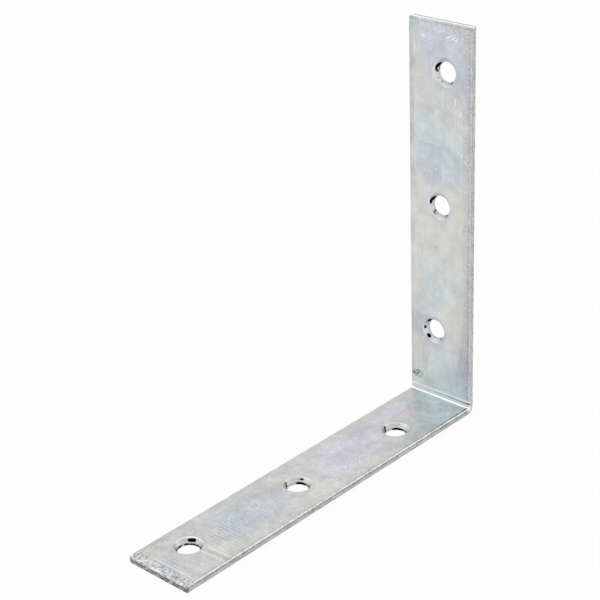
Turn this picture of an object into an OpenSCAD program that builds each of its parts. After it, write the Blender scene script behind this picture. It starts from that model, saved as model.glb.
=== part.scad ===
// Corner brace: one flat strip of plated steel, folded square, with a slanted row
// of countersunk screw holes in each leg. The base lies on the ground along Y and
// the upright stands at its +Y end. The origin is the middle of the footprint.

/* [Strip] */
// Outside length of each leg, from the outer corner to the sheared end
leg_length = 152.4; // [100:0.1:300]
// Width of the strip
strip_width = 28.2; // [20:0.1:60]
// Thickness of the strip
strip_thickness = 2.7; // [2:0.1:5]
// Radius along the long edges of the strip
edge_radius = 0.5; // [0.1:0.05:0.9]

/* [Bend] */
// Radius of the inside of the bend
bend_radius = 0.5; // [0.3:0.1:6]
// Depth to which the folding tool presses the inside of the bend
press_depth = 0.08; // [0.02:0.01:0.3]
// Length of the band above the bend that the tool presses into the upright
press_length = 2; // [0.5:0.1:6]
// How far the squeezed metal swells out of each side at the bend
bend_swell = 0.25; // [0.05:0.05:0.6]

/* [Screw holes] */
// Number of screw holes in each leg
holes_per_leg = 3; // [1:1:6]
// Diameter of the hole that the screw's shank passes through
hole_diameter = 7.7; // [6:0.1:9.5]
// Diameter of the countersink where it meets the inner face
countersink_diameter = 10.5; // [8.5:0.1:12]
// Full angle of the countersink
countersink_angle = 82; // [64:1:120]
// Distance from the upright's end to the centre of its first hole
upright_end_margin = 18.5; // [8:0.1:40]
// Distance from the outer corner to the centre of the upright's last hole
upright_corner_margin = 30.7; // [15:0.1:45]
// Distance from the outer corner to the centre of the base's first hole
base_corner_margin = 32.2; // [15:0.1:45]
// Distance from the base's end to the centre of its last hole
base_end_margin = 17; // [8:0.1:40]
// Distance that a row of holes drifts across the strip from its first to its last
row_drift = 5; // [0:0.1:10]
// Distance of the middle of each row from the centre line of the strip
row_offset = -0.5; // [-3:0.1:3]

/* [Sheared ends] */
// Radius that the shear draws over the inner edge of each end
end_radius = 0.8; // [0.2:0.1:1.6]
// Radius of the four corners at the ends of the strip
corner_radius = 0.5; // [0.2:0.1:6]

/* [Hidden] */
$fn = 96;

// How far a cutter runs past the face that it cuts through
overcut = 1;
// How far the blank of the swell lies under the faces of the bend
swell_inset = 0.04;
// Share of the thickness, from the inner face, at which the side swells most
swell_level = 0.35;
// Radius of the swollen patch on the side of the strip
swell_spread = 0.55 * strip_thickness;

// The outer face of the bend turns round the same axis as the inner face
bend_reach = bend_radius + strip_thickness;
leg_straight = leg_length - bend_reach;
press_radius = bend_radius + press_depth;

hole_radius = hole_diameter / 2;
countersink_radius = countersink_diameter / 2;
countersink_slope = tan(countersink_angle / 2);
countersink_depth = (countersink_radius - hole_radius) / countersink_slope;

// A ball of this radius, sunk in the side, stands out by the swell over its spread
swell_radius = (pow(swell_spread, 2) + pow(bend_swell, 2)) / (2 * bend_swell);
swell_turn = bend_radius + swell_level * strip_thickness;

// Place of hole number k of a row that runs from one distance to another
function along_row(k, first, last) =
    first + (last - first) * k / max(holes_per_leg - 1, 1);

// Sideways place of hole number k, counted along the strip from the upright's end
function across_row(k) = row_offset + row_drift / 2 - along_row(k, 0, row_drift);

// Section of the strip: its width along X, and its thickness from 0 along Y
module strip_section() {
    half_flat = strip_width / 2 - edge_radius;
    translate([-strip_width / 2, edge_radius])
        square([strip_width, strip_thickness - 2 * edge_radius]);
    translate([-half_flat, 0])
        square([2 * half_flat, strip_thickness]);
    for (x = [-half_flat, half_flat], y = [edge_radius, strip_thickness - edge_radius])
        translate([x, y])
            circle(r = edge_radius);
}

// Straight part of a leg, running up Z, with its outer face on the XZ plane
module leg() {
    translate([0, -strip_thickness, bend_reach])
        linear_extrude(height = leg_straight)
            strip_section();
}

// Turns what stands on the upright into its likeness on the base
module to_base() {
    mirror([0, 1, 1])
        children();
}

// A quarter turn about the axis of the bend, from the base to the upright, of a
// shape drawn with its distance from that axis along X and its width along Y
module round_bend() {
    translate([0, -bend_reach, bend_reach])
        rotate([0, 90, 0])
            rotate_extrude(angle = 90)
                children();
}

// A ball in each side of the bend, kept between the faces of the strip
module side_swell() {
    blank_width = strip_width + 4 * bend_swell;
    blank_thickness = strip_thickness - 2 * swell_inset;
    ball_shift = strip_width / 2 + bend_swell - swell_radius;
    side = swell_turn * sin(45);
    intersection() {
        round_bend()
            translate([bend_radius + swell_inset, -blank_width / 2])
                square([blank_thickness, blank_width]);
        for (x = [-ball_shift, ball_shift])
            translate([x, side - bend_reach, bend_reach - side])
                sphere(r = swell_radius);
    }
}

module bend() {
    round_bend()
        translate([bend_reach, 0])
            rotate(90)
                strip_section();
    side_swell();
}

// Mark of the folding tool: a groove along the inside of the bend, and the shallow
// band that runs on from it up the inner face of the upright
module tool_mark() {
    mark_width = strip_width + 4 * bend_swell + 2 * overcut;
    translate([0, -bend_reach, bend_reach])
        rotate([0, 90, 0])
            linear_extrude(height = mark_width, center = true) {
                circle(r = press_radius);
                translate([-press_length, 0])
                    square([press_length, press_radius]);
            }
}

// Cutter of one screw hole: its mouth is at Z 0 and it runs down through the strip
module screw_hole() {
    rotate_extrude()
        polygon([
            [0, -strip_thickness - overcut],
            [hole_radius, -strip_thickness - overcut],
            [hole_radius, -countersink_depth],
            [countersink_radius, 0],
            [countersink_radius + overcut * countersink_slope, overcut],
            [0, overcut],
        ]);
}

// Row of holes in the upright, from its end down towards the bend
module upright_holes() {
    first = leg_length - upright_end_margin;
    for (k = [0 : holes_per_leg - 1])
        translate([across_row(k), -strip_thickness, along_row(k, first, upright_corner_margin)])
            rotate([90, 0, 0])
                screw_hole();
}

// Row of holes in the base, from the bend out towards its end
module base_holes() {
    last = leg_length - base_end_margin;
    for (k = [0 : holes_per_leg - 1])
        translate([across_row(k), -along_row(k, base_corner_margin, last), strip_thickness])
            screw_hole();
}

// What a quarter round of the given radius leaves of a square corner: a long bar
// along Z whose corner lies on the Z axis, with the round towards -X and -Y
module round_off(radius, length) {
    translate([-radius, -radius, -length / 2])
        difference() {
            cube([radius + overcut, radius + overcut, length]);
            translate([0, 0, -overcut])
                cylinder(r = radius, h = length + 2 * overcut);
        }
}

// Cutters at the upright's end: the drawn-over inner edge and the two corners
module end_rounding() {
    translate([0, -strip_thickness, leg_length])
        rotate([0, 90, 0])
            rotate([0, 0, 180])
                round_off(end_radius, strip_width + 2 * overcut);
    for (side = [0, 1])
        mirror([side, 0, 0])
            translate([strip_width / 2, -strip_thickness / 2, leg_length])
                rotate([90, 0, 0])
                    round_off(corner_radius, strip_thickness + 2 * overcut);
}

// The whole brace, drawn from its outer corner and set on the middle of its footprint
module corner_brace() {
    color("#C6CBD1")
        translate([0, leg_length / 2, 0])
            difference() {
                union() {
                    leg();
                    bend();
                    to_base()
                        leg();
                }
                tool_mark();
                upright_holes();
                base_holes();
                end_rounding();
                to_base()
                    end_rounding();
            }
}

corner_brace();
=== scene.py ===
"""Corner brace: a sheared strip of zinc plated steel, drilled, countersunk and folded square."""
import math

import bmesh
import bpy
import numpy as np
from bpy.props import FloatProperty, FloatVectorProperty, IntProperty, PointerProperty
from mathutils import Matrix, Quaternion, Vector


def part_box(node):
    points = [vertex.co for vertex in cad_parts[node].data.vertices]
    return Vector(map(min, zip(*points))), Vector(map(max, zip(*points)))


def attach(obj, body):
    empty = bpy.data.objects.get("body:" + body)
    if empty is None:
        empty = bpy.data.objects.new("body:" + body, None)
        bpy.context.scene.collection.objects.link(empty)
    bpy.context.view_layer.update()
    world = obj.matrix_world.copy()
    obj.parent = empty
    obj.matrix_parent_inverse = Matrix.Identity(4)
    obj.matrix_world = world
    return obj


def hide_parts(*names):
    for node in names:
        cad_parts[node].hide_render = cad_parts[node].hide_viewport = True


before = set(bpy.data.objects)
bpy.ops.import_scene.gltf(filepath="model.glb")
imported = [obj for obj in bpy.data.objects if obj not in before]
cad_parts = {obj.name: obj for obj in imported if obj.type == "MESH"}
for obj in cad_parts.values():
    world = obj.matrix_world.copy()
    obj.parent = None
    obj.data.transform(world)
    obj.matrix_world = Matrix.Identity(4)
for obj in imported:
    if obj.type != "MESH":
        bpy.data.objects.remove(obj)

bl_info = {
    "name": "Corner Brace",
    "version": (1, 0, 0),
    "blender": (4, 5, 0),
    "location": "3D View > Sidebar > Brace",
    "description": "Builds a folded corner brace with its plated finish, in a small studio",
    "category": "Object",
}

MM = 0.001
NODE = "corner_brace"
BODY = "root"
PIECE = "folded_strip"
FLAT_PLACE = "flat_place"
HOLE_PLACE = "hole_place"
CAD_LOW, CAD_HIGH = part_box(NODE)
SCREEN_GAMMA = 2.2
WEIGHT_STEPS = 48  # steps between no weight and full weight
COLUMNS, LEVELS = 55, 6  # cuts along the strip, and levels in its side
EDGE_STEPS, END_STEPS = 5, 6  # steps of the rounding along the edges and at the ends
BIT_SIDES = 96
MOST_CUTS = 100  # the most that one subdivision makes
HAIR = 1e-6  # less than this apart is the same place
CREASE = math.radians(38)  # faces that meet at more than this keep a sharp edge


# ---- Sizes and colours that a user would change ----


def measured(name, value, description):
    """A length of the brace or its studio."""
    return FloatProperty(name=name, unit="LENGTH", default=value, description=description)


def coloured(name, tone, description):
    """A colour, given as it is read off a screen, from 0 to 255."""
    return FloatVectorProperty(
        name=name, subtype="COLOR", default=[(v / 255) ** SCREEN_GAMMA for v in tone],
        description=description)


class StripSizes(bpy.types.PropertyGroup):
    """The strip that the brace is folded from"""

    leg_length: measured(
        "Leg length", CAD_HIGH[2] - CAD_LOW[2],
        "Outside length of each leg, from the outer corner to the sheared end")
    width: measured("Width", 28.2 * MM, "Width of the strip")
    thickness: measured("Thickness", 2.7 * MM, "Thickness of the strip")
    edge_radius: measured("Edge radius", 0.5 * MM, "Radius along the long edges of the strip")
    end_radius: measured(
        "End radius", 0.8 * MM, "Radius that the shear draws over the inner edge of each end")
    corner_radius: measured(
        "Corner radius", 0.5 * MM, "Radius of the four corners at the ends of the strip")
    bend_radius: measured("Bend radius", 0.5 * MM, "Radius of the inside of the bend")
    press_depth: measured(
        "Press depth", 0.08 * MM,
        "Depth to which the folding tool presses the inside of the bend")
    press_length: measured(
        "Press length", 2.0 * MM,
        "Length of the band above the bend that the tool presses into the upright")
    swell: measured(
        "Swell", 0.22 * MM, "How far the squeezed metal swells out of each side at the bend")


class HoleSizes(bpy.types.PropertyGroup):
    """The countersunk screw holes"""

    shank: measured(
        "Shank diameter", 7.7 * MM, "Diameter of the hole that the screw's shank passes through")
    mouth: measured(
        "Countersink diameter", 10.5 * MM,
        "Diameter of the countersink where it meets the inner face")
    angle: FloatProperty(
        name="Countersink angle", subtype="ANGLE", default=math.radians(82),
        description="Full angle of the countersink")
    per_leg: IntProperty(
        name="Holes per leg", default=3, min=2, max=6,
        description="Number of screw holes in each leg")
    upright_end_margin: measured(
        "Upright end margin", 18.5 * MM,
        "Distance from the upright's end to the centre of its first hole")
    upright_corner_margin: measured(
        "Upright corner margin", 30.7 * MM,
        "Distance from the outer corner to the centre of the upright's last hole")
    base_corner_margin: measured(
        "Base corner margin", 32.2 * MM,
        "Distance from the outer corner to the centre of the base's first hole")
    base_end_margin: measured(
        "Base end margin", 17.0 * MM,
        "Distance from the base's end to the centre of its last hole")
    drift: measured(
        "Row drift", 5.0 * MM, "Distance that a row of holes drifts across the strip")
    offset: measured(
        "Row offset", -0.5 * MM, "Distance of the middle of each row from the centre line")


class PlateColours(bpy.types.PropertyGroup):
    """The zinc plating and its faint rainbow film"""

    zinc: coloured("Zinc", (203, 206, 204), "Plain plated face")
    cream: coloured("Cream film", (210, 210, 203), "Where the passivation film is thinnest")
    straw: coloured(
        "Straw film", (199, 199, 192), "Where the film turns yellow, along the edges")
    lilac: coloured("Lilac film", (198, 201, 214), "Where the film turns lilac")
    violet: coloured("Violet film", (190, 188, 197), "Where the film turns violet")
    rose: coloured("Rose film", (209, 207, 215), "Where the film turns pink")
    blue: coloured("Blue film", (192, 198, 204), "Where the film turns blue")
    slate: coloured("Slate film", (190, 198, 206), "Where the film is thickest, by the bend")
    teal: coloured("Teal film", (209, 220, 221), "Where the film turns blue green")
    # painted highlight: near-white laid on the rounded edges, the fold, the ends, the swollen
    # sides and the countersinks' mouths, where lamps would shine
    painted_highlight: coloured(
        "Burnished zinc", (250, 251, 251), "Corners and scratches that tools have polished")
    sheared: coloured("Sheared steel", (166, 167, 171), "Sides, where the slitter tore the metal")
    torn: coloured("Torn end", (150, 151, 154), "End of the base, where the shear tore the metal")
    cone: coloured("Countersink", (196, 200, 200), "Turned cone of each countersink")
    # partly painted shade: the hole's wall is darker than the cone for the shade inside the hole
    bore: coloured("Punched bore", (176, 180, 186), "Thinly plated wall of each hole")
    # painted shade: black for the dark reflections and shade inside the holes
    hole_shade: coloured("Smear", (18, 20, 22), "Black smears that chips and oil left in the holes")
    roughness: FloatProperty(
        name="Roughness", subtype="FACTOR", default=0.36, min=0.05, max=1.0,
        description="Roughness of the plated faces")


class StudioSizes(bpy.types.PropertyGroup):
    """The pale studio and its camera"""

    floor_size: measured("Floor size", 6.0, "Width of the pale floor")
    world_level: FloatProperty(
        name="World level", default=0.75,
        description="Brightness of the studio's walls as they light the brace")
    key_power: FloatProperty(
        name="Key power", unit="POWER", default=0.8,
        description="Power of the soft lamp up on the left")
    rim_power: FloatProperty(
        name="Rim power", unit="POWER", default=0.6,
        description="Power of the soft lamp behind on the right")
    lens: FloatProperty(
        name="Lens", default=98.756, description="Focal length of the camera in millimetres")


# ---- Working on a mesh ----


def only(*things):
    """Selects these objects alone, if any, and makes the first one active."""
    bpy.ops.object.select_all(action="DESELECT")
    for thing in things:
        thing.select_set(True)
    bpy.context.view_layer.objects.active = things[0] if things else None


def mode(name):
    """Goes into edit mode or back to object mode."""
    bpy.ops.object.mode_set(mode=name)


def pick(kind, wanted):
    """In edit mode, selects the edges or faces for which wanted() is true."""
    mesh = bpy.context.edit_object.data
    bpy.ops.mesh.select_mode(type=kind)
    bpy.ops.mesh.select_all(action="DESELECT")
    shape = bmesh.from_edit_mesh(mesh)
    for part in shape.edges if kind == "EDGE" else shape.faces:
        if wanted(part):
            part.select_set(True)
    shape.select_flush_mode()
    bmesh.update_edit_mesh(mesh, loop_triangles=False, destructive=False)


def runs_along(edge, low, high):
    """Whether an edge runs along the flat strip, between these two places."""
    first, last = sorted(vertex.co.y for vertex in edge.verts)
    return last - first > 10 * HAIR and first > low - HAIR and last < high + HAIR


def rims_hole(edge):
    """Whether an edge lies between the strip's own coat and that of a hole."""
    coats = {face.material_index for face in edge.link_faces}
    return 0 in coats and len(coats) > 1


def slice_at(place, normal):
    """Cuts the whole mesh in edit mode by a plane, and keeps both sides."""
    bpy.ops.mesh.select_all(action="SELECT")
    bpy.ops.mesh.bisect(plane_co=place, plane_no=normal, threshold=1e-7)


def apply_modifier(thing, name, kind, **settings):
    """Adds a modifier with these settings and applies it."""
    modifier = thing.modifiers.new(name, kind)
    for key, value in settings.items():
        setattr(modifier, key, value)
    only(thing)
    bpy.ops.object.modifier_apply(modifier=modifier.name)


def places(thing):
    """The places of all vertices, one row each."""
    rows = np.empty(len(thing.data.vertices) * 3, dtype=np.float32)
    thing.data.vertices.foreach_get("co", rows)
    return rows.reshape(-1, 3).astype(float)


def weigh(thing, name, weights):
    """Makes a vertex group from an array of weights between 0 and 1, in even steps."""
    group = thing.vertex_groups.new(name=name)
    steps = np.rint(np.clip(weights, 0, 1) * WEIGHT_STEPS).astype(int)
    for step in range(1, WEIGHT_STEPS + 1):
        chosen = np.flatnonzero(steps == step)
        if len(chosen):
            group.add(chosen.tolist(), step / WEIGHT_STEPS, "REPLACE")
    return group.name


def ease(values, start, end):
    """0 before start, 1 past end, and a smooth slope between them."""
    share = np.clip((values - start) / (end - start), 0, 1)
    return share * share * (3 - 2 * share)


def displace(thing, name, direction, strength, weights, lumps=None, depth=2):
    """Moves the weighted vertices out by the strength, or in by noise, given its size of lumps."""
    settings = {"mid_level": 0.0}
    if lumps:
        texture = bpy.data.textures.new(name, "CLOUDS")
        texture.noise_scale, texture.noise_depth = lumps, depth
        settings = {"mid_level": 1.0, "texture": texture, "texture_coords": "LOCAL"}
    apply_modifier(thing, name, "DISPLACE", direction=direction, strength=strength,
                   vertex_group=weigh(thing, name, weights), **settings)


# ---- The layout of the flat strip, before it is folded ----


class FlatLayout:
    """Where things lie along the flat strip: base first, then the bend, then the upright."""

    def __init__(self, strip, holes):
        self.reach = strip.bend_radius + strip.thickness
        self.base_end = -strip.leg_length / 2
        self.bend_start = strip.leg_length / 2 - self.reach
        self.bend_end = self.bend_start + self.reach * math.pi / 2
        self.top_end = self.bend_end + strip.leg_length - self.reach
        self.press_end = self.bend_end + strip.press_length
        first = strip.leg_length - holes.upright_end_margin
        last = strip.leg_length - holes.base_end_margin
        uprights = np.linspace(first, holes.upright_corner_margin, holes.per_leg)
        bases = np.linspace(holes.base_corner_margin, last, holes.per_leg)
        across = holes.offset + np.linspace(holes.drift / 2, -holes.drift / 2, holes.per_leg)
        self.hole_places = [(x, self.bend_end + z - self.reach) for x, z in zip(across, uprights)]
        self.hole_places += [(x, strip.leg_length / 2 - y) for x, y in zip(across, bases)]

    def zones(self, strip):
        """Stretches of the strip, each with the length of its mesh cells."""
        rolled = 4.0 * MM
        marks = [
            (self.base_end + strip.end_radius, 0.3), (self.base_end + rolled, 0.8), (0.0, 0.8),
            (self.bend_start - 2.0 * MM, 0.3), (self.bend_start, 0.25), (self.bend_end, 0.3),
            (self.press_end - 0.2 * MM, 0.1), (self.press_end + 0.2 * MM, 0.4),
            (self.press_end + 2.0 * MM, 0.8), ((self.bend_end + self.top_end) / 2, 0.8),
            (self.top_end - rolled, 0.3),
        ]
        ends = [start for start, _ in marks[1:]] + [self.top_end - strip.end_radius]
        return [(start, end, cell * MM) for (start, cell), end in zip(marks, ends)]


def strip_bar(strip, layout):
    """The flat bar with rounded long edges, cut into a fine even mesh."""
    low = layout.base_end + strip.end_radius
    high = layout.top_end - strip.end_radius
    only()
    bpy.ops.mesh.primitive_cube_add(
        size=1, location=(0, (low + high) / 2, strip.thickness / 2),
        scale=(strip.width, high - low, strip.thickness))
    bar = bpy.context.object
    bar.name = PIECE
    bpy.ops.object.transform_apply()

    mode("EDIT")
    pick("EDGE", lambda edge: runs_along(edge, low, high))
    bpy.ops.mesh.bevel(
        offset=strip.edge_radius, segments=EDGE_STEPS, profile=0.5, affect="EDGES")
    guard = strip.width / 2 - strip.edge_radius - 0.12 * MM
    groove = guard - 0.22 * MM
    for x in (*np.linspace(-groove, groove, COLUMNS), -guard, guard):
        slice_at((x, 0, 0), (1, 0, 0))
    lowest, highest = strip.edge_radius, strip.thickness - strip.edge_radius
    for z in np.linspace(lowest, highest, LEVELS)[1:-1]:
        slice_at((0, 0, z), (0, 0, 1))
    zones = layout.zones(strip)
    for start, _, _ in zones[1:]:
        slice_at((0, start, 0), (0, 1, 0))
    for start, end, cell in zones:
        cuts = max(1, round((end - start) / cell) - 1)
        if cuts > MOST_CUTS:
            raise RuntimeError("a zone of the strip needs more cuts than one subdivision makes")
        pick("EDGE", lambda edge: runs_along(edge, start, end))
        bpy.ops.mesh.subdivide(number_cuts=cuts)
    mode("OBJECT")
    return bar


def draw_over_ends(bar, strip, layout):
    """Runs both ends out to their full length, with the inner edge drawn over by the shear."""
    half = strip.width / 2
    ends = ((1, layout.top_end - strip.end_radius), (-1, layout.base_end + strip.end_radius))
    only(bar)
    mode("EDIT")
    for side, start in ends:
        pick("FACE", lambda f: f.normal.y * side > 0.9)
        out, drop = 0.0, 0.0
        for step in range(1, END_STEPS + 1):
            turn = math.radians(90 * step / END_STEPS)
            next_out = strip.end_radius * math.sin(turn)
            next_drop = strip.end_radius * (1 - math.cos(turn))
            inset = strip.corner_radius / strip.end_radius
            bpy.ops.mesh.extrude_region_move(
                TRANSFORM_OT_translate={"value": (0, side * (next_out - out), 0)})
            bpy.ops.transform.resize(
                value=((half - next_drop * inset) / (half - drop * inset), 1,
                       (strip.thickness - next_drop) / (strip.thickness - drop)),
                center_override=(0, start + side * next_out, 0))
            out, drop = next_out, next_drop
    mode("OBJECT")


def press_and_wear(bar, strip, layout):
    """Presses the tool's band, swells the sides and roughens what was sheared, in the flat."""
    across, along, level = places(bar).T
    high = level / strip.thickness
    half = strip.width / 2
    from_side = half - np.abs(across)
    from_end = np.minimum(along - layout.base_end, layout.top_end - along)

    ramp = ease(along, layout.bend_start - 0.3 * MM, layout.bend_start)
    ramp *= 1 - ease(along, layout.press_end - 0.1 * MM, layout.press_end + 0.1 * MM)
    displace(bar, "Pressed band", "Z", -strip.press_depth, ramp * ease(high, 0.5, 0.98))
    middle = (layout.bend_start + layout.bend_end) / 2
    swollen = 1 - ((along - middle) / (2.9 * MM)) ** 2 - ((high - 0.62) / 0.55) ** 2
    swollen = np.clip(swollen, 0, 1) * ease(np.abs(across), half - 1.6 * MM, half - 0.1 * MM)
    displace(bar, "Swollen sides", "NORMAL", strip.swell, swollen)

    rolled = 1 - ease(from_end, 0.0, 3.2 * MM)
    displace(bar, "Rolled over ends", "Z", -0.16 * MM, rolled * high)
    upper = ease(high, 0.8, 0.95)
    speckled = (1 - ease(from_end, 2.2 * MM, 3.8 * MM)) * upper
    displace(bar, "Speckled ends", "Z", 0.10 * MM, speckled, lumps=0.7 * MM)
    torn = 1 - ease(from_end, 0.02 * MM, 0.3 * MM)
    displace(bar, "Torn ends", "NORMAL", 0.12 * MM, torn, lumps=0.7 * MM)

    slit = (1 - ease(from_side, 0.25 * MM, 1.0 * MM)) * (1 - rolled)
    displace(bar, "Slit sides", "NORMAL", 0.07 * MM, slit, lumps=0.9 * MM, depth=3)
    groove = np.exp(-((from_side - strip.edge_radius - 0.12 * MM) / (0.1 * MM)) ** 2)
    groove = groove * upper * (1 - rolled)
    displace(bar, "Edge groove", "Z", 0.09 * MM, groove, lumps=1.6 * MM)

    waves = ease(high, 0.6, 0.95) + ease(1 - high, 0.6, 0.95)
    waves = waves * ease(from_side, 0.4 * MM, 2.0 * MM) * ease(from_end, 0.5 * MM, 4.0 * MM)
    displace(bar, "Rolling waves", "NORMAL", 0.05 * MM, waves, lumps=14 * MM, depth=1)
    dent_across, dent_along = -10.3 * MM, layout.top_end - 144.0 * MM
    dent = np.exp(-((along - dent_along) / (1.3 * MM)) ** 2
                  - ((across - dent_across) / (1.1 * MM)) ** 2) * ease(high, 0.6, 0.95)
    displace(bar, "Dent", "Z", 0.22 * MM, dent, lumps=1.1 * MM)


def countersink_bit(strip, holes, coats):
    """The bit that cuts one screw hole, with its axis on Z and its mouth at the strip's face."""
    shank, mouth = holes.shank / 2, holes.mouth / 2
    slope = math.tan(holes.angle / 2)
    lip = 0.10 * MM
    face = strip.thickness
    depth = (mouth - shank) / slope
    # the rings of the bit from its lower end up, each with its radius and height
    rings = [
        (shank + 0.30 * MM, -0.30 * MM), (shank + 0.10 * MM, 0.0),
        (shank + 0.03 * MM, 0.04 * MM), (shank, 0.12 * MM),
        (shank, face - depth - 0.06 * MM), (shank + 0.02 * MM, face - depth),
        (shank + 0.08 * MM, face - depth + 0.07 * MM),
        (mouth - 0.10 * MM, face - 0.10 * MM / slope), (mouth, face - 0.035 * MM),
        (mouth + lip, face), (mouth + 5 * lip, face + 4 * lip),
    ]
    only()
    radius, height = rings[0]
    bpy.ops.mesh.primitive_circle_add(
        vertices=BIT_SIDES, radius=radius, fill_type="NGON", location=(0, 0, height))
    bit = bpy.context.object
    bit.name = "countersink_bit"
    bpy.ops.object.transform_apply()
    mode("EDIT")
    for (radius, height), (next_radius, next_height) in zip(rings, rings[1:]):
        bpy.ops.mesh.extrude_region_move(
            TRANSFORM_OT_translate={"value": (0, 0, next_height - height)})
        grow = next_radius / radius
        bpy.ops.transform.resize(value=(grow, grow, 1), center_override=(0, 0, next_height))
    bpy.ops.mesh.select_all(action="SELECT")
    bpy.ops.mesh.normals_make_consistent(inside=False)
    mode("OBJECT")
    for coat in coats:
        bit.data.materials.append(coat)
    bore_top = face - depth + 0.03 * MM
    for polygon in bit.data.polygons:
        polygon.material_index = 2 if polygon.center.z < bore_top else 1
    return bit


def drill(bar, strip, holes, layout, coats):
    """Cuts all the screw holes with copies of one bit."""
    first = countersink_bit(strip, holes, coats)
    bits = [first]
    for _ in layout.hole_places[1:]:
        only(first)
        bpy.ops.object.duplicate(linked=False)
        bits.append(bpy.context.object)
    for bit, (x, y) in zip(bits, layout.hole_places):
        bit.location = (x, y, 0)
    only(*bits)
    bpy.ops.object.transform_apply()
    bpy.ops.object.join()
    bits = bpy.context.object
    apply_modifier(
        bar, "Screw holes", "BOOLEAN", operation="DIFFERENCE", solver="EXACT", object=bits)
    bpy.data.objects.remove(bits)


def note_places(bar, layout):
    """Keeps on each vertex where it lay on the flat strip, and where from the nearest hole."""
    flat = places(bar)
    centres = np.array([(x, y, 0.0) for x, y in layout.hole_places])
    gaps = np.hypot(*(flat[:, None, :2] - centres[None, :, :2]).transpose(2, 0, 1))
    from_hole = flat - centres[np.argmin(gaps, axis=1)]
    for name, rows in ((FLAT_PLACE, flat), (HOLE_PLACE, from_hole)):
        mark = bar.data.attributes.new(name, "FLOAT_VECTOR", "POINT")
        mark.data.foreach_set("vector", rows.astype(np.float32).ravel())


def fold(bar, layout):
    """Folds the flat strip square, with its outer face running round the outside of the bend."""
    along = places(bar)[:, 1]
    low, span = along.min(), along.max() - along.min()
    bpy.ops.object.empty_add(location=(0, layout.bend_start, 0),
                             rotation=(math.radians(90), 0, math.radians(180)))
    axis = bpy.context.object
    bpy.context.view_layer.update()
    apply_modifier(bar, "Fold", "SIMPLE_DEFORM", deform_method="BEND", deform_axis="X",
                   angle=math.radians(90), origin=axis,
                   limits=((layout.bend_start - low) / span, (layout.bend_end - low) / span))
    bpy.data.objects.remove(axis)


def finish_mesh(bar):
    """Closes the mesh, turns its faces outwards, and shades it smooth but for its real edges."""
    bar.vertex_groups.clear()
    only(bar)
    mode("EDIT")
    bpy.ops.mesh.select_mode(type="VERT")
    bpy.ops.mesh.select_all(action="SELECT")
    bpy.ops.mesh.remove_doubles(threshold=2 * HAIR)
    bpy.ops.mesh.normals_make_consistent(inside=False)
    mode("OBJECT")
    bpy.ops.object.shade_smooth_by_angle(angle=CREASE)
    mode("EDIT")
    pick("EDGE", rims_hole)
    bpy.ops.mesh.mark_sharp()
    mode("OBJECT")


# ---- Materials ----


# The coats are laid out in millimetres on the flat strip; other numbers are shares and tones


def by_math(operation, turned=False):
    """An operator that puts two values through a Math node, the other one first if turned."""
    def operator(self, other):
        inputs = {0: other, 1: self} if turned else {0: self, 1: other}
        return self.bench.node("ShaderNodeMath", {"operation": operation}, inputs)
    return operator


class Wire:
    """A value, place or colour between two nodes; sums on it add Math nodes."""

    __add__ = __radd__ = by_math("ADD")
    __sub__, __rsub__ = by_math("SUBTRACT"), by_math("SUBTRACT", turned=True)
    __mul__ = __rmul__ = by_math("MULTIPLY")
    __truediv__, __rtruediv__ = by_math("DIVIDE"), by_math("DIVIDE", turned=True)
    __pow__, __rpow__ = by_math("POWER"), by_math("POWER", turned=True)

    def __init__(self, bench, socket):
        self.bench, self.socket = bench, socket

    def math(self, operation, *values, clamp=False):
        """This value and others put through a Math node."""
        settings = {"operation": operation, "use_clamp": clamp}
        return self.bench.node("ShaderNodeMath", settings, dict(enumerate((self,) + values)))

    def size(self):
        return self.math("ABSOLUTE")

    def slope(self, start, end):
        """0 at start, 1 at end, with a soft run between them either way round."""
        return self.bench.node(
            "ShaderNodeMapRange", {"interpolation_type": "SMOOTHSTEP"},
            {"Value": self, "From Min": start, "From Max": end, "To Min": 0.0, "To Max": 1.0})

    def hump(self, centre, spread):
        """1 at the centre and 0 at this distance from it, either side."""
        return (self - centre).size().slope(spread, 0.0)


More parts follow.
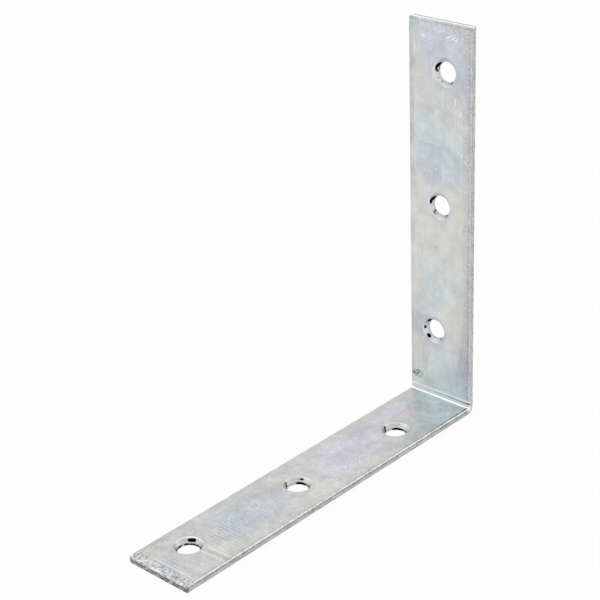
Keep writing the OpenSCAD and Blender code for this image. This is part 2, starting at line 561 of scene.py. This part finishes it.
class Bench:
    """The nodes of one material, laid out by one method."""

    def __init__(self, tree):
        self.tree = tree
        tree.nodes.clear()

    def node(self, kind, settings=None, inputs=None, output=0):
        """Adds a node: its settings first, and then the values or links of its sockets."""
        made = self.tree.nodes.new(kind)
        for name, value in (settings or {}).items():
            setattr(made, name, value)
        for key, value in (inputs or {}).items():
            socket = made.inputs[key]
            if isinstance(value, Wire):
                self.tree.links.new(value.socket, socket)
            else:
                socket.default_value = value
        return Wire(self, made.outputs[output]) if made.outputs else None

    def blend(self, share, first, second, way="MIX"):
        """A mix of two colours."""
        settings = {"data_type": "RGBA", "blend_type": way}
        inputs = {0: share, 6: paint(first), 7: paint(second)}
        return self.node("ShaderNodeMix", settings, inputs, output=2)

    def noise(self, place, scale, detail=2.0, roughness=0.5, output=0):
        """Noise from 0 to 1 with lumps of about one over scale, which may differ by direction."""
        if isinstance(scale, tuple):
            place, scale = self.stretch(place, scale), 1.0
        inputs = {"Vector": place, "Scale": scale, "Detail": detail, "Roughness": roughness}
        return self.node("ShaderNodeTexNoise", None, inputs, output)

    def shade(self, colour, tone):
        """A colour made lighter or darker by a number near 1."""
        tone = tone.math("MAXIMUM", 0.02)
        grey = self.node("ShaderNodeCombineColor", None, {0: tone, 1: tone, 2: tone})
        return self.blend(1.0, colour, grey, "MULTIPLY")

    def stretch(self, place, factors):
        """A place with each of its directions scaled."""
        return self.node("ShaderNodeVectorMath", {"operation": "MULTIPLY"}, {0: place, 1: factors})

    def shift(self, place, other):
        return self.node("ShaderNodeVectorMath", {"operation": "ADD"}, {0: place, 1: other})

    def parts(self, place):
        """The three numbers of a place."""
        made = self.node("ShaderNodeSeparateXYZ", None, {0: place})
        return [Wire(self, socket) for socket in made.socket.node.outputs]

    def metal(self, colour, roughness, bumps, bump_depth=0.02 * MM):
        """The material's surface: bare metal whose colour, gloss and grain vary."""
        normal = self.node("ShaderNodeBump", None, {
            "Height": bumps, "Distance": bump_depth, "Strength": 0.5})
        shader = self.node("ShaderNodeBsdfPrincipled", None, {
            "Base Color": colour, "Roughness": roughness, "Metallic": 1.0, "Normal": normal})
        self.node("ShaderNodeOutputMaterial", None, {"Surface": shader})


def paint(value):
    """A plain colour with its alpha, or a wire as it is."""
    return value if isinstance(value, Wire) else tuple(value)[:3] + (1.0,)


def new_material(name):
    material = bpy.data.materials.new(name)
    material.use_nodes = True
    return material, Bench(material.node_tree)


def flat_millimetres(bench, name):
    """A place kept on the mesh, in millimetres."""
    settings = {"attribute_type": "GEOMETRY", "attribute_name": name}
    kept = bench.node("ShaderNodeAttribute", settings, output="Vector")
    return bench.stretch(kept, (1 / MM, 1 / MM, 1 / MM))


class Place:
    """Where a point of the metal lay on the flat strip, as wires that carry millimetres."""

    def __init__(self, bench, strip, layout):
        self.point = flat_millimetres(bench, FLAT_PLACE)
        self.across, self.along, level = bench.parts(self.point)
        self.right = self.across.slope(-2.0, 2.0)
        self.from_hole = flat_millimetres(bench, HOLE_PLACE)
        x, y, _ = bench.parts(self.from_hole)
        self.hole_gap = (x * x + y * y).math("SQRT")
        self.turn = (y.math("ARCTAN2", x) * math.degrees(1)).math("FLOORED_MODULO", 360.0)
        self.depth = strip.thickness / MM - level
        self.inward = strip.width / 2 / MM - self.across.size()
        self.base_end, self.top_end = layout.base_end / MM, layout.top_end / MM
        self.end = (self.along - self.base_end).math("MINIMUM", self.top_end - self.along)
        self.bend_start, self.bend_end = layout.bend_start / MM, layout.bend_end / MM
        self.press_end = layout.press_end / MM
        self.upright = self.along.slope(self.bend_start, self.bend_end)
        self.holes = [y / MM for _, y in layout.hole_places]

    def at_hole(self, along):
        """1 round the hole that lies this far along the strip, and 0 at the others."""
        return self.along.hump(along, HOLE_REACH).slope(0.0, 0.2)

    def on_leg(self, leg, from_end):
        """How far along the strip a point lies that is this far from a leg's sheared end."""
        return self.top_end - from_end if leg == "upright" else self.base_end + from_end

    def stroke(self, leg, start, end, width):
        """1 on a thin line drawn on a leg between two points, given from its end and across."""
        first = Vector((start[1], self.on_leg(leg, start[0])))
        last = Vector((end[1], self.on_leg(leg, end[0])))
        run, length = (last - first).normalized(), (last - first).length
        x, y = self.across - first.x, self.along - first.y
        off = x * run.y - y * run.x
        far = x * run.x + y * run.y
        return off.hump(0.0, width) * far.slope(-0.4, 0.4) * far.slope(length + 0.4, length - 0.4)

    def patch(self, leg, from_end, side, length, width):
        """1 in the middle of an oval on a leg, fading to 0 past its rim."""
        return oval(self.across, self.along, side, self.on_leg(leg, from_end), width, length)


def oval(x, y, side, along, width, length, power=2.0):
    """1 in the middle of an oval, fading to 0 past its rim; squarer with a power of 4."""
    reach = ((y - along) / length) ** power + ((x - side) / width) ** power
    return reach.slope(1.35, 0.3)


def marks(table):
    """The rows of a table of marks, each with the name of its leg in front."""
    return [(leg,) + row for leg, rows in table.items() for row in rows]


# Soft stains of the plating's film on each leg: the distance along it from its sheared end and
# across the strip from its middle, length and width, the film's tint and its strength
STAINS = {
    "upright": (
        (10.5, 1, 9, 10, "lilac", 1), (15, -10.2, 11, 3, "cream", 0.7),
        (22, -13.6, 32, 1.6, "violet", 0.5), (11, 5.5, 3, 3.5, "zinc", 0.7),
        (24, 10.5, 6, 4, "violet", 0.5), (1, 0, 5, 22, "blue", 0.6), (20, -5, 5, 8, "cream", 0.5),
        (19, 11, 8, 5, "blue", 0.6), (41.5, -5, 7, 6.5, "teal", 0.6), (45, 6, 5, 5, "teal", 0.4),
        (53.5, -0.5, 8, 10.5, "blue", 1), (78, 0, 19, 22, "cream", 0.9),
        (103, -1, 17, 8, "teal", 0.4), (108, -4, 7, 5, "blue", 0.4),
        (123, -10, 9, 5, "violet", 0.9), (118, 5, 9, 9, "cream", 0.4),
        (143, 2, 14, 14, "teal", 0.85), (136, -11, 13, 6, "straw", 0.8),
        (134, 12.8, 17, 4, "violet", 0.6), (145.5, 11.5, 4.5, 3.5, "slate", 1),
    ),
    "base": (
        (146, 4, 19, 17, "teal", 1), (144, -12, 7, 4, "straw", 0.6),
        (129, -6, 10, 7, "rose", 0.9), (126, 9, 8, 8, "teal", 0.6),
        (110, -1, 12, 10, "lilac", 0.5), (94, -1, 17, 9, "rose", 1), (68, 1, 9, 12, "cream", 0.9),
        (53, -1, 10, 9, "blue", 0.75), (36, -1, 15, 9, "blue", 0.85),
        (19, 1, 7, 16, "cream", 0.6), (8, -8, 9, 8, "straw", 0.9), (4, 6, 6, 12, "straw", 0.6),
        (11, 9, 5, 4.5, "rose", 0.7), (27, -9, 13, 4.5, "rose", 0.4),
        (5.7, -0.8, 3.4, 2.8, "slate", 1),
    ),
}

# In millimetres: how far the stains of the outer face lie from those of the inner one, how
# far their rims wander, and how far along the strip a hole's own marks reach
OUTER_SHIFT = 31.0
RIM_WANDER = 10.0
HOLE_REACH = 14.0

# Marks of handling on each leg: both ends of the mark (distance from the sheared end, and
# across), half its width, and how much lighter or darker it is than the plate
SCRATCHES = {
    "upright": (
        ((27, 6.9), (29.6, 6.9), 0.45, 0.5), ((26.6, 8.4), (28.4, 8.4), 0.35, 0.16),
        ((31.4, 9.4), (33.4, 9.4), 0.4, 0.32), ((49.4, 11.1), (52.2, 13.8), 0.36, 0.32),
        ((47.7, 9.7), (48.2, 10), 0.55, 0.42), ((46.8, 7.9), (47.2, 9), 0.36, 0.28),
        ((49.6, 9.7), (50, 10.1), 0.45, 0.26), ((55.1, -2.2), (55.5, -1.5), 0.5, 0.36),
        ((45.4, -5.1), (45.8, -4.7), 0.5, 0.36), ((30, 10.8), (64, 10.4), 0.35, -0.09),
        ((74, 11.2), (93.5, 11), 0.35, -0.14), ((6.4, -7.9), (6, -6.9), 0.4, 0.45),
        ((4.7, -4.6), (4.2, -3.4), 0.35, 0.3), ((3.8, -0.4), (2.9, 2.4), 0.35, 0.4),
        ((5.4, 3.2), (4, 5.4), 0.35, 0.5), ((5.9, 4.9), (4.3, 7), 0.35, 0.5),
        ((6.1, 6.6), (5.2, 8), 0.35, 0.4), ((4.9, 9.5), (4.3, 10.5), 0.35, 0.3),
        ((4.6, 2), (4.2, 3), 0.35, -0.2), ((6.8, 4.4), (6.2, 5.6), 0.35, -0.15),
        ((86, -1.8), (87, -1.7), 0.5, -0.28), ((103.6, -1.9), (104.2, -1.7), 0.45, -0.16),
        ((105.4, -1.6), (106.4, -1.3), 0.5, 0.34), ((107.6, 0.4), (109.4, 0.6), 0.4, 0.16),
        ((86.5, -8), (93.5, -8.6), 0.35, -0.1), ((87.5, -10.2), (92.5, -11), 0.35, -0.09),
        ((141.4, -10), (143.6, -11.6), 0.6, -0.4), ((143.4, -9.2), (144.6, -10.2), 0.45, -0.3),
    ),
    "base": (
        ((21, 12.9), (20.4, 2.6), 0.34, 0.36), ((18, 12.9), (17.3, 2.2), 0.34, 0.36),
        ((19.5, 12.9), (18.9, 2.6), 0.4, -0.14), ((4.5, 12.4), (4.3, -7), 0.34, 0.4),
        ((3, 12), (3.7, -4), 0.35, -0.15), ((5.4, 10.6), (5.9, -4), 0.3, 0.24),
        ((9.6, 11), (7.4, 0), 0.3, 0.18), ((12.4, 9), (10.2, -2), 0.3, 0.15),
        ((46.6, -0.5), (46.1, -5), 0.45, 0.22), ((48.4, 3), (47.8, -2), 0.35, 0.18),
        ((120, -6.4), (119, -9.2), 0.35, 0.2), ((140.5, -9), (131.5, 0.5), 0.6, -0.1),
    ),
}

# Patches of fine specks on each leg: the distance from its sheared end and across, length
# and width, and how much lighter or darker the specks are
SPECKS = {
    "upright": ((142.4, -11, 1.9, 2.9, -0.9), (6, 5.5, 4, 4, 0.2), (6.5, -5.5, 3.5, 3, 0.15)),
    "base": ((88, 8, 14, 5, 0.16), (47, -2, 5, 3.5, 0.2)),
}

# Soft lighter and darker areas, given in the same way
SHADES = {
    "upright": (
        (1, 0, 5, 22, -0.03), (19, -4, 8, 12, -0.045), (39, -4, 9, 9, -0.055),
        (103, 5, 15, 7, -0.03), (137, 0, 14, 16, -0.035), (139, -9, 11, 7, -0.035),
    ),
    "base": (
        (143, -9, 8, 6, -0.035), (134, -3, 7, 6, 0.05), (124, -7, 12, 9, -0.04),
        (90, 10, 18, 5, -0.025), (73, -6, 8, 9, 0.03), (37, 0, 5, 9, 0.02),
    ),
}


def film(bench, colours, at):
    """The plated face's colour: soft stains of the film, with a straw tint towards the edges."""
    wander = bench.noise(at.point, 0.12, 4.0, output="Color")
    wander = bench.stretch(bench.shift(wander, (-0.5, -0.5, -0.5)), (RIM_WANDER,) * 3)
    x, y, _ = bench.parts(bench.shift(at.point, wander))
    y -= at.depth.slope(1.1, 1.6) * OUTER_SHIFT
    mottle = bench.noise(at.point, 0.14, 3.0).slope(0.35, 0.65)
    colour = bench.blend(mottle * 0.6, colours.zinc, colours.cream)
    drift = bench.noise(at.point, 0.3, 2.0, 0.6)
    tinge = bench.noise(bench.shift(at.point, (40.0, 0.0, 0.0)), 0.26, 2.0, 0.6)
    for leg, from_end, side, length, width, tint, strength in marks(STAINS):
        patch = oval(x, y, side, at.on_leg(leg, from_end), width, length, 4.0) * strength
        colour = bench.blend(patch, colour, getattr(colours, tint))
    colour = bench.blend(drift.slope(0.48, 0.72) * 0.55, colour, colours.rose)
    colour = bench.blend(tinge.slope(0.48, 0.72) * 0.45, colour, colours.teal)
    rim = at.inward.slope(4.0, 0.8) * bench.noise(at.point, 0.3, 3.0).slope(0.4, 0.6)
    bare = oval(at.across, at.along, 12.0, at.on_leg("base", 94.0), 7.0, 22.0, 4.0)
    colour = bench.blend(rim * (1.0 - at.upright) * (0.5 - bare * 0.4), colour, colours.straw)
    halo = at.hole_gap.slope(9.0, 6.0) * bench.noise(at.point, 0.35, 2.0).slope(0.2, 0.6)
    return bench.blend(halo * 0.45, colour, bench.blend(at.upright, colours.cream, colours.lilac))


def fold_shade_and_highlight(at):
    """Painted light where the strip is folded, on the inner face: a tone of painted shade, and
    shares of painted highlight and of mattness.
    """
    inner = at.depth.slope(0.75, 0.45)
    right = at.across.slope(-12.0, 14.0)
    top = at.press_end - 0.35
    band = at.along.slope(at.bend_end, at.bend_end + 0.3) * at.along.slope(top, top - 0.3)
    # painted shade: a shadow under the tool's step, a dark line in the crease at the foot of the
    # bend, and a dark spot of shade at the right end of the step
    shadow = at.along.hump(top - 0.4, 0.55) * (0.16 + right * 0.5)
    crease_shade = at.along.hump(at.bend_start - 0.45, 0.6) * 0.22
    dent = oval(at.across, at.along, 13.5, top - 0.5, 0.6, 0.5) * 0.7
    tone = (band * 0.1 - shadow - crease_shade - dent) * inner
    # painted highlights: the fold line along the inside of the bend, a line on the tool's step,
    # and a paler pressed band
    fold_line_highlight = (at.along.slope(at.bend_start + 1.2, at.bend_start + 2.4)
              * at.along.slope(at.bend_end + 0.1, at.bend_end - 0.6))
    lip = at.along.slope(top - 0.25, top - 0.05) * at.along.slope(top + 0.95, top + 0.7)
    white = (fold_line_highlight + lip + band * 0.6 - shadow).math("MINIMUM", 1.0) * inner
    return tone, white, (lip + band * 0.5) * inner


def handled(at, tone, spots):
    """The tone of the inner face with its scratches, specks and soft areas added."""
    inner = at.depth.slope(1.6, 1.1)
    for leg, start, end, width, change in marks(SCRATCHES):
        tone += at.stroke(leg, start, end, width) * inner * change
    for *patch, change in marks(SPECKS):
        tone += at.patch(*patch) * spots * inner * change
    for *patch, change in marks(SHADES):
        tone += at.patch(*patch) * inner * change
    return tone


def plated_face(colours, strip, layout):
    """Zinc plating on rolled strip: rainbow film, rolling grain, scuffs, torn sides and ends, with
    painted highlights and painted shade along the edges, ends, fold and holes.
    """
    material, bench = new_material("zinc_plate")
    at = Place(bench, strip, layout)
    thick = strip.thickness / MM

    # lumps of the plating at several sizes, and rolling streaks along the strip
    fine = bench.noise(at.point, 1.5, 3.0, 0.8)
    patchy = bench.noise(at.point, 0.34, 1.0, 0.6)
    broad = bench.noise(at.point, 0.14, 1.0)
    rolled = bench.noise(at.point, (1.3, 0.06, 1.0), 3.0, 0.7)
    tone = (0.95 + at.upright * 0.11 + (fine - 0.5) * (1.0 - at.upright * 0.42)
            + (patchy - 0.5) * (0.32 - at.upright * 0.1) + (broad - 0.5) * 0.36
            + (rolled - 0.5) * 0.22)
    colour = film(bench, colours, at)

    # handling marks, and the chatter of the rolls across the far half of the base
    spots = bench.noise(at.point, 1.15, 3.0, 0.8).slope(0.48, 0.56)
    tone = handled(at, tone, spots)
    chatter = ((at.along * 4.05 + patchy * 6.0).math("SINE") * at.across.hump(1.0, 13.0)
               * at.along.hump(at.on_leg("base", 31.0), 14.0))
    tone += chatter * 0.12
    # painted shade: a faint dark ring just outside each countersink, and a darker arc along one
    # side of each upright hole's rim
    tone -= at.hole_gap.hump(6.0, 0.5) * patchy.slope(0.35, 0.6) * 0.09
    tone -= at.hole_gap.hump(5.5, 0.35) * at.turn.hump(70.0, 60.0) * at.upright * 0.5

    # the long edges: a painted highlight on the rounded corner, with a broken dark line of painted
    # shade below it
    face = at.depth.slope(0.5, 0.3)
    breaks = bench.noise(at.point, (1.0, 1.1, 1.0), 3.0, 0.8)
    tone -= (at.inward.slope(2.6, 0.9) * face * fine.slope(0.45, 0.6)
             * (0.04 + at.upright * 0.14))
    rubbed = at.inward.slope(4.2, 2.2) * face * at.right * at.upright
    tone += rubbed * (spots * 0.2 - 0.09)
    colour = bench.blend(rubbed * 0.35, colour, colours.violet)
    # painted shade: a broken dark line along the near edge of the face, strongest on the base by
    # the bend, and another on each side just under the rounding
    near_bend = at.along.hump(at.bend_start, 26.0) * (1.0 - at.upright)
    tone -= (at.inward.hump(0.8, 0.38) * face * breaks.slope(0.4, 0.52)
             * (0.17 + near_bend * 1.3) * at.right)
    under = at.inward.slope(0.35, 0.2) * at.depth.hump(0.8, 0.42)
    tone -= under * breaks.slope(0.56, 0.46) * (0.62 - at.upright * 0.4)
    # painted highlight along the rounded long edges
    edge_highlight = (at.inward.slope(0.46, 0.34) * at.depth.slope(0.46, 0.34)
               * (at.inward - at.depth).hump(0.03, 0.36).slope(0.0, 0.6) * breaks.slope(0.66, 0.42)
               * (0.15 + at.right * 0.75) * at.end.slope(0.5, 2.5))

    # the sides and ends that the shear tore
    side = at.inward.slope(0.45, 0.1)
    ended = at.end.slope(0.7, 0.2) * at.depth.slope(0.5, 1.0)
    streak = bench.noise(at.point, (1.0, 0.16, 2.6), 4.0, 0.8)
    worn = bench.blend(streak.slope(0.42, 0.58), colours.sheared, colours.cream)
    worn = bench.blend(at.upright * 0.45, worn, colours.zinc)
    dots = bench.noise(at.point, 0.85, 2.0, 0.8).slope(0.5, 0.58) * at.depth.slope(1.0, 1.5)
    tone -= side * at.upright * (dots * 0.35 + 0.04)
    torn = bench.noise(at.point, (0.6, 1.0, 2.4), 4.0, 0.8)
    ripped = bench.blend(torn.slope(0.35, 0.65), colours.torn, colours.zinc)
    colour = bench.blend(side, colour, worn)
    colour = bench.blend(ended, colour, bench.blend(at.upright, ripped, colours.zinc))
    crack = at.depth.hump(1.43, 0.44) * bench.noise(at.point, 0.7, 3.0).slope(0.33, 0.47)
    crack += at.depth.hump(2.2, 0.34) * bench.noise(at.point, 0.5, 3.0).slope(0.62, 0.42)
    edge = at.end.slope(0.5, 0.2)
    tone -= crack * edge * (1.0 - at.upright) * 0.9
    # painted shade along the edge of each end next to the outer face
    tone -= edge * at.depth.slope(thick - 0.8, thick - 0.3) * (0.1 + at.upright * 0.38)
    tone -= at.end.slope(1.3, 0.7) * at.depth.slope(0.75, 0.55) * at.upright * 0.22

    # the speckled band that the shear rolled over at each end
    speckle = bench.noise(at.point, 1.05, 3.0, 0.8)
    band = (at.end + (patchy - 0.5) * 4.0).slope(3.9, 2.6) * at.depth.slope(0.95, 0.75)
    band *= 1.0 - at.upright * 0.8
    colour = bench.blend(band * 0.45, colour, colours.lilac)
    tone += band * ((speckle - 0.49) * 4.0 - 0.07)

    fold_shading, fold_highlight, matt = fold_shade_and_highlight(at)
    colour = bench.shade(colour, tone + fold_shading)
    # painted highlights: glints in the speckled band at each end, a line along the upright's
    # sheared top, and a patch on each swollen side at the bend
    glint = band * speckle.slope(0.58, 0.66) * 0.9
    top_line = (at.end.slope(0.35, 0.15) * at.depth.slope(0.8, 1.0) * at.depth.slope(2.0, 1.8)
                * at.upright)
    white = edge_highlight * (1.0 - at.upright * 0.45) + fold_highlight + glint + top_line
    middle = (at.bend_start + at.bend_end) / 2 - 0.3
    swollen = oval(at.along, at.depth, middle, 0.4, 3.0, 1.1) * side
    white = white.math("MINIMUM", 1.0).math("MAXIMUM", swollen * 0.8)
    colour = bench.blend(white, colour, colours.painted_highlight)

    rough = colours.roughness + (patchy - 0.5) * 0.12 + side * 0.08 + ended * 0.12
    bumps = (fine * 0.5 + rolled * 0.5 + band * speckle * 2.0 + side * streak * 1.5
             + ended * torn * 3.0)
    bench.metal(colour, rough + matt * 0.6, bumps)
    return material


# Painted dark reflections and shade in each screw hole, along the strip from the upright's end and
# then from the bend: the way round the hole in degrees and how far either way, the depth below the
# inner face and how far either way, and the mark's strength
HOLE_SHADES = (
    ((160, 32, 1.1, 0.8, 1), (136, 26, 1.6, 1, 1), (167, 8, 1.5, 0.35, -1.4),
     (166, 15, 2.3, 0.45, 1), (180, 8, 1.45, 0.5, 1), (308, 15, 1.35, 0.55, 1),
     (215, 7, 1.2, 0.3, 0.6), (240, 7, 1.4, 0.3, 0.6)),
    ((162, 30, 0.95, 0.7, 1), (138, 28, 1.45, 0.95, 1), (222, 16, 1.8, 0.5, 1),
     (227, 16, 1.15, 0.32, 1), (241, 8, 1.5, 0.25, 0.7), (310, 19, 1.4, 0.5, 1),
     (85, 30, 1.5, 0.3, 0.5)),
    ((128, 26, 1.05, 0.8, 1), (179, 15, 0.75, 0.6, 1), (226, 20, 0.95, 0.8, 1),
     (80, 34, 1.5, 0.4, 0.9), (308, 17, 1.55, 0.4, 0.9), (232, 14, 1.05, 0.6, 0.6)),
    ((118, 50, 2.3, 1.1, 1), (75, 24, 1.9, 0.4, 0.9), (44, 22, 1.5, 0.35, 1),
     (188, 13, 0.7, 0.45, 1), (198, 14, 1.25, 0.55, 1), (206, 17, 1.85, 0.6, 1),
     (214, 16, 2.4, 0.55, 1)),
    ((114, 22, 0.8, 0.6, 0.6), (115, 46, 2.3, 1.2, 1), (76, 24, 1.9, 0.4, 1),
     (45, 24, 1.55, 0.38, 1), (198, 11, 0.7, 0.38, 0.9), (207, 12, 1.15, 0.48, 1),
     (216, 15, 1.6, 0.52, 1), (212, 15, 2.4, 0.48, 0.9)),
    ((112, 18, 0.95, 0.85, 1), (130, 17, 1, 0.75, 1), (110, 46, 2.45, 0.8, 1),
     (70, 28, 2, 0.45, 1), (38, 24, 1.4, 0.45, 1), (192, 32, 2.15, 0.75, 1),
     (232, 16, 1.45, 0.45, 1), (150, 18, 2.2, 0.6, 1)),
)


def hole_shade_mask(bench, at):
    """1 in the black patches of painted shade and dark reflection in the holes."""
    found = []
    for along, rows in zip(at.holes, HOLE_SHADES):
        own = [at.turn.hump(turn, spread) * at.depth.hump(depth, reach) * strength
               for turn, spread, depth, reach, strength in rows]
        found.append(sum(own[1:], own[0]) * at.at_hole(along))
    found = sum(found[1:], found[0])
    ragged = (bench.noise(at.point, 1.6, 2.0) - 0.5) * 0.5
    return (found + ragged * found.slope(0.0, 0.3)).slope(0.24, 0.42)


def cut_cone(colours, strip, layout):
    """The countersink: turned rings, with a painted highlight at the mouth and black patches of
    painted shade.
    """
    material, bench = new_material("countersink_cut")
    at = Place(bench, strip, layout)
    rings = bench.noise(at.from_hole, (0.15, 0.15, 5.0))
    patchy = bench.noise(at.point, 0.9, 2.0)
    chips = bench.noise(at.point, 1.6, 3.0, 0.8)
    light = bench.blend(rings.slope(0.3, 0.7), colours.cone, colours.cream)
    colour = bench.blend(patchy.slope(0.35, 0.65) * 0.4, light, colours.lilac)
    last = at.at_hole(at.holes[-1])
    # painted highlight: near-white on one side of each countersink's mouth, strongest in the last
    # hole of the base
    mouth = at.depth.slope(0.5, 0.25) * at.turn.hump(135.0, 120.0).slope(0.0, 0.3)
    mouth *= at.turn.hump(125.0, 60.0) * last * 0.7 + 0.3
    colour = bench.blend(mouth, colour, colours.painted_highlight)
    below = at.turn.hump(272.0, 70.0) * at.upright
    colour = bench.blend(below * at.depth.slope(1.1, 0.5) * 0.7, colour, colours.lilac)
    outline = at.depth.slope(0.3, 0.1) * at.turn.hump(250.0, 80.0) * at.upright
    tone = 0.92 + at.upright * 0.26 - outline * 0.35 - below * 0.17
    colour = bench.shade(colour, tone + (rings - 0.5) * 0.35 + (chips - 0.5) * 0.6)
    colour = bench.blend(hole_shade_mask(bench, at), colour, colours.hole_shade)
    bench.metal(colour, 0.34 + rings * 0.1, rings, bump_depth=0.01 * MM)
    return material


def punched_bore(colours, strip, layout):
    """The wall that the punch left, streaked through its thickness."""
    material, bench = new_material("punched_bore")
    at = Place(bench, strip, layout)
    streaks = bench.noise(at.from_hole, (1.2, 1.2, 0.3), 3.0, 0.7)
    # the wall's colour is partly painted shade, darker than the cone
    colour = bench.blend(streaks.slope(0.35, 0.65), colours.bore, colours.cone)
    colour = bench.blend(hole_shade_mask(bench, at), colour, colours.hole_shade)
    bench.metal(colour, 0.4 + streaks * 0.15, streaks)
    return material


# ---- Operators ----


class BRACE_OT_folded_strip(bpy.types.Operator):
    """Shears, drills and folds the strip, and gives it its plated finish"""

    bl_idname = "brace.folded_strip"
    bl_label = "Folded strip"
    bl_options = {"REGISTER", "UNDO"}

    def execute(self, context):
        scene = context.scene
        strip, holes, colours = scene.brace_strip, scene.brace_holes, scene.brace_colours
        layout = FlatLayout(strip, holes)
        coats = [coat(colours, strip, layout) for coat in (plated_face, cut_cone, punched_bore)]
        bar = strip_bar(strip, layout)
        for coat in coats:
            bar.data.materials.append(coat)
        draw_over_ends(bar, strip, layout)
        press_and_wear(bar, strip, layout)
        drill(bar, strip, holes, layout, coats)
        note_places(bar, layout)
        fold(bar, layout)
        finish_mesh(bar)
        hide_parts(NODE)
        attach(bar, BODY)
        return {"FINISHED"}


# The camera, fitted to the photograph: its angles in degrees, and the point it looks at
AZIMUTH, ELEVATION, ROLL = 43.503, 25.647, -2.355
DISTANCE = 570.70 * MM
TARGET = Vector((-8.044, 5.521, 68.099)) * MM
SENSOR = 36.0

WHITE = (1.0, 1.0, 1.0, 1.0)
FLOOR_TONE = (0.86, 0.86, 0.87, 1.0)
FLOOR_GAP = 0.05 * MM
LAMP_TARGET = Vector((0.0, 0.0, 0.05))


def area_lamp(name, place, size, power):
    """A soft square lamp that looks at the brace."""
    bpy.ops.object.light_add(type="AREA", location=place)
    lamp = bpy.context.object
    lamp.name = name
    lamp.data.size = size
    lamp.data.energy = power
    lamp.rotation_mode = "QUATERNION"
    lamp.rotation_quaternion = (LAMP_TARGET - Vector(place)).to_track_quat("-Z", "Y")


def seen_directly(bench):
    """1 for what is seen straight, in metal or through glass, and 0 for light that falls."""
    kinds = [bench.node("ShaderNodeLightPath", output=name)
             for name in ("Is Camera Ray", "Is Glossy Ray", "Is Transmission Ray")]
    return (kinds[0] + kinds[1]).math("ADD", kinds[2], clamp=True)


class BRACE_OT_studio(bpy.types.Operator):
    """Puts the brace on a pale floor under soft light, seen from the photograph's angle"""

    bl_idname = "brace.studio"
    bl_label = "Studio"
    bl_options = {"REGISTER", "UNDO"}

    def execute(self, context):
        scene = context.scene
        studio = scene.brace_studio
        self.floor(studio)
        self.world(scene, studio)
        self.lamps(studio)
        self.camera(scene, studio)
        scene.view_settings.view_transform = "Standard"
        return {"FINISHED"}

    def floor(self, studio):
        only()
        bpy.ops.mesh.primitive_plane_add(size=studio.floor_size, location=(0, 0, -FLOOR_GAP))
        floor = bpy.context.object
        floor.name = "studio_floor"
        material, bench = new_material("pale_floor")
        matt = bench.node("ShaderNodeBsdfDiffuse", None, {"Color": FLOOR_TONE})
        white = bench.node("ShaderNodeEmission", None, {"Color": WHITE, "Strength": 1.0})
        share = seen_directly(bench) * 0.95
        mixed = bench.node("ShaderNodeMixShader", None, {0: share, 1: matt, 2: white})
        bench.node("ShaderNodeOutputMaterial", None, {"Surface": mixed})
        floor.data.materials.append(material)

    def world(self, scene, studio):
        world = bpy.data.worlds.new("studio_walls")
        world.use_nodes = True
        scene.world = world
        bench = Bench(world.node_tree)
        level = seen_directly(bench) * (1.0 - studio.world_level) + studio.world_level
        walls = bench.node("ShaderNodeBackground", None, {"Color": WHITE, "Strength": level})
        bench.node("ShaderNodeOutputWorld", None, {"Surface": walls})

    def lamps(self, studio):
        area_lamp("key_lamp", (-0.62, -0.30, 0.70), 0.80, studio.key_power)
        area_lamp("rim_lamp", (0.45, 0.70, 0.66), 0.70, studio.rim_power)

    def camera(self, scene, studio):
        azimuth, elevation, roll = (math.radians(v) for v in (AZIMUTH, ELEVATION, ROLL))
        back = Vector((math.sin(azimuth) * math.cos(elevation),
                       -math.cos(azimuth) * math.cos(elevation), math.sin(elevation)))
        bpy.ops.object.camera_add(location=TARGET + back * DISTANCE)
        camera = bpy.context.object
        camera.name = "photo_camera"
        camera.rotation_mode = "QUATERNION"
        level = (-back).to_track_quat("-Z", "Y")
        camera.rotation_quaternion = level @ Quaternion((0, 0, 1), roll)
        camera.data.lens = studio.lens
        camera.data.sensor_width = SENSOR
        camera.data.clip_start, camera.data.clip_end = 0.01, 20.0
        scene.camera = camera


class BRACE_PT_panel(bpy.types.Panel):
    """Lists the sizes, the colours and the steps that build the brace"""

    bl_idname = "BRACE_PT_panel"
    bl_label = "Corner brace"
    bl_space_type = "VIEW_3D"
    bl_region_type = "UI"
    bl_category = "Brace"

    def draw(self, context):
        for group in (getattr(context.scene, name) for name in GROUPS):
            box = self.layout.box()
            for name in group.bl_rna.properties.keys():
                if name not in {"name", "rna_type"}:
                    box.prop(group, name)
        self.layout.operator(BRACE_OT_folded_strip.bl_idname)
        self.layout.operator(BRACE_OT_studio.bl_idname)


GROUPS = {
    "brace_strip": StripSizes,
    "brace_holes": HoleSizes,
    "brace_colours": PlateColours,
    "brace_studio": StudioSizes,
}
CLASSES = tuple(GROUPS.values()) + (BRACE_OT_folded_strip, BRACE_OT_studio, BRACE_PT_panel)


def register():
    for kind in CLASSES:
        bpy.utils.register_class(kind)
    for name, kind in GROUPS.items():
        setattr(bpy.types.Scene, name, PointerProperty(type=kind))


def unregister():
    for name in GROUPS:
        delattr(bpy.types.Scene, name)
    for kind in reversed(CLASSES):
        bpy.utils.unregister_class(kind)


def main():
    """Builds everything in order."""
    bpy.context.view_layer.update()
    register()
    bpy.ops.brace.folded_strip()
    bpy.ops.brace.studio()
    bpy.context.view_layer.update()


if __name__ == "__main__":
    main()
